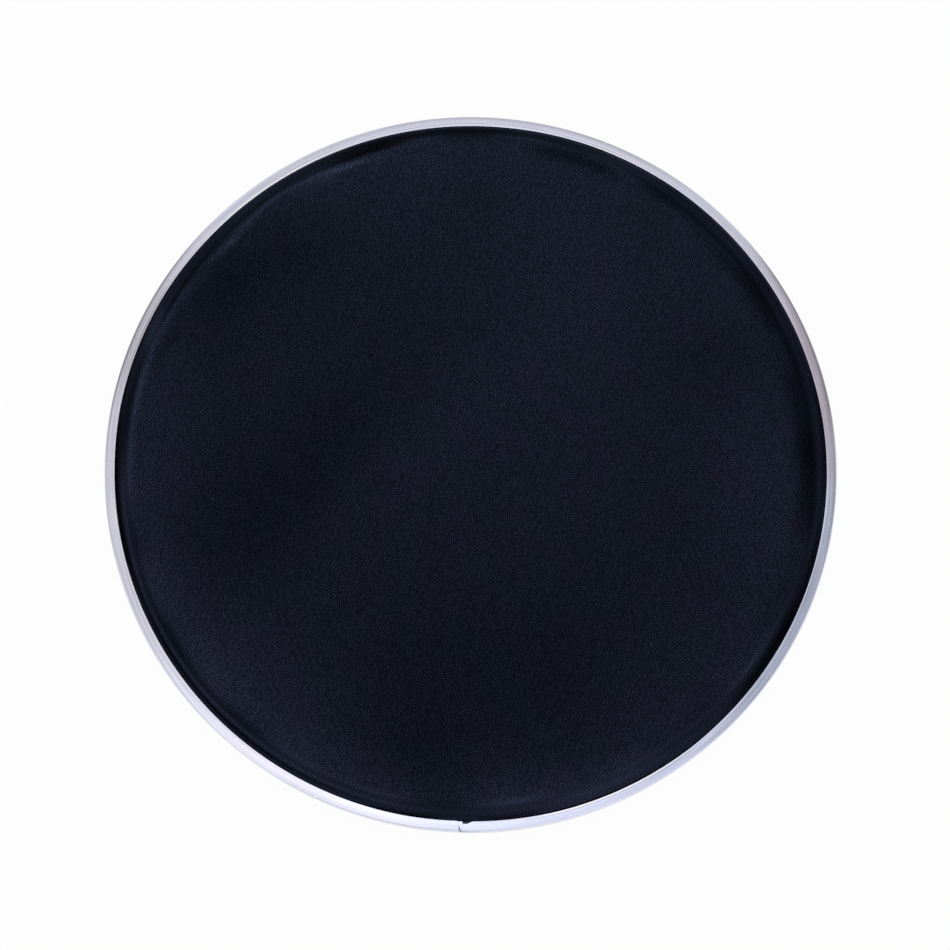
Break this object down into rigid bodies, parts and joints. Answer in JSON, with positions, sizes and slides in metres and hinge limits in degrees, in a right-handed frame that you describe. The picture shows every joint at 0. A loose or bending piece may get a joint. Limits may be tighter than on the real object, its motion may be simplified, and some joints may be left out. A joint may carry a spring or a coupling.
{
  "type": "drum head",
  "caption": "Round woven mesh drum head with a raised collar, gripped in a pressed aluminium hoop; a counter hoop pulls it over a shell as a quiet playing surface.",
  "frame": {"origin": "centre of the hoop's foot, on the surface that the head lies on", "axes": "+Z from the foot to the playing surface; -Y towards the hoop's butt joint, the near side in the picture; +X to the right in the picture"},
  "size_m": [0.214, 0.214, 0.0122],
  "materials": {
    "hoop_aluminium": "satin, drawn lines along the rim",
    "plate_aluminium": "mill finish strip",
    "ring_steel": "drawn wire",
    "black_mesh": "plain woven black polyester mesh, dull sheen",
    "potting_resin": "cast amber resin, dull"
  },
  "bodies": {
    "root": {"hoop_channel": "hoop_aluminium", "joint_plate": "plate_aluminium", "resin_bed": "potting_resin", "retaining_ring": "ring_steel", "lower_mesh_ply": "black_mesh", "upper_mesh_ply": "black_mesh", "resin_fill": "potting_resin"}
  },
  "joints": []
}
